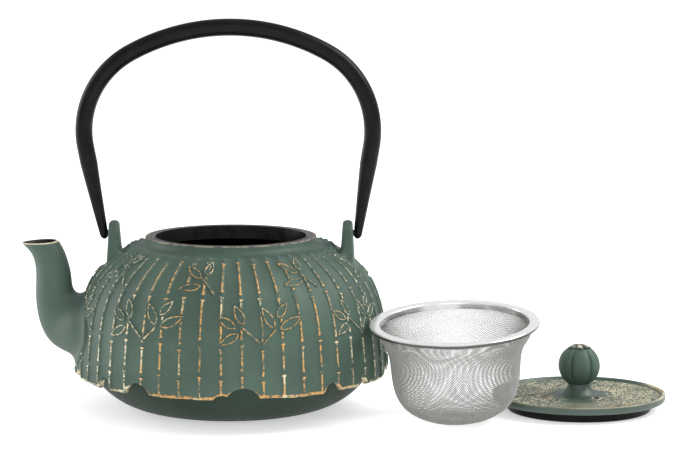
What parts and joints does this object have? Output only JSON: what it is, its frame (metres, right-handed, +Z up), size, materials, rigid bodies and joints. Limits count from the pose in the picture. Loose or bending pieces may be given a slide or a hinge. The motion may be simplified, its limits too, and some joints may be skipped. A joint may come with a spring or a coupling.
{
  "type": "teapot infuser",
  "caption": "Cast-iron teapot with leaf-and-bamboo relief, swinging bail handle, lid with a round knob, and a lift-out mesh infuser basket set beside the pot.",
  "frame": {"origin": "centre of the pot's flat foot, on the table", "axes": "+Z up, -X towards the spout, +X towards the lid on the table, -Y towards the side where the basket and lid stand"},
  "size_m": [0.3455, 0.1712, 0.2094],
  "materials": {
    "green_iron": "matte patina, gilded on the high points",
    "green_iron_smooth": "matte patina",
    "black_enamel": "glossy enamel",
    "bail_black": "satin black",
    "steel_polished": "polished stainless steel",
    "steel_mesh": "woven stainless wire",
    "gilded_iron": "green patina with gilded edges",
    "stud_metal": "dull, browned",
    "fastener_steel": "plain zinc-grey"
  },
  "bodies": {
    "pot": {"pot_body": "green_iron", "pot_lining": "black_enamel", "spout": "green_iron_smooth", "lug_left": "green_iron_smooth", "lug_right": "green_iron_smooth"},
    "bail": {"bail_handle": "bail_black"},
    "infuser": {"infuser_rim": "steel_polished", "infuser_mesh": "steel_mesh", "infuser_clamp_ring": "steel_polished"},
    "lid": {"lid_plate": "green_iron", "lid_flange": "black_enamel", "lid_knob": "green_iron_smooth", "knob_calyx": "gilded_iron", "knob_stud": "stud_metal", "knob_washer": "fastener_steel", "knob_nut": "fastener_steel"}
  },
  "joints": [
    {"name": "bail_swing", "type": "hinge", "parent": "pot", "child": "bail", "pos_m": [0, 0, 0.0945], "axis": [1, 0, 0], "range_deg": [-110, 110]},
    {"name": "infuser_lift", "type": "slide", "parent": "pot", "child": "infuser", "axis": [0.5, 0, 0.866], "range_m": [0, 0.15]},
    {"name": "lid_lift", "type": "slide", "parent": "pot", "child": "lid", "axis": [0.5, 0, 0.866], "range_m": [0, 0.15]}
  ]
}
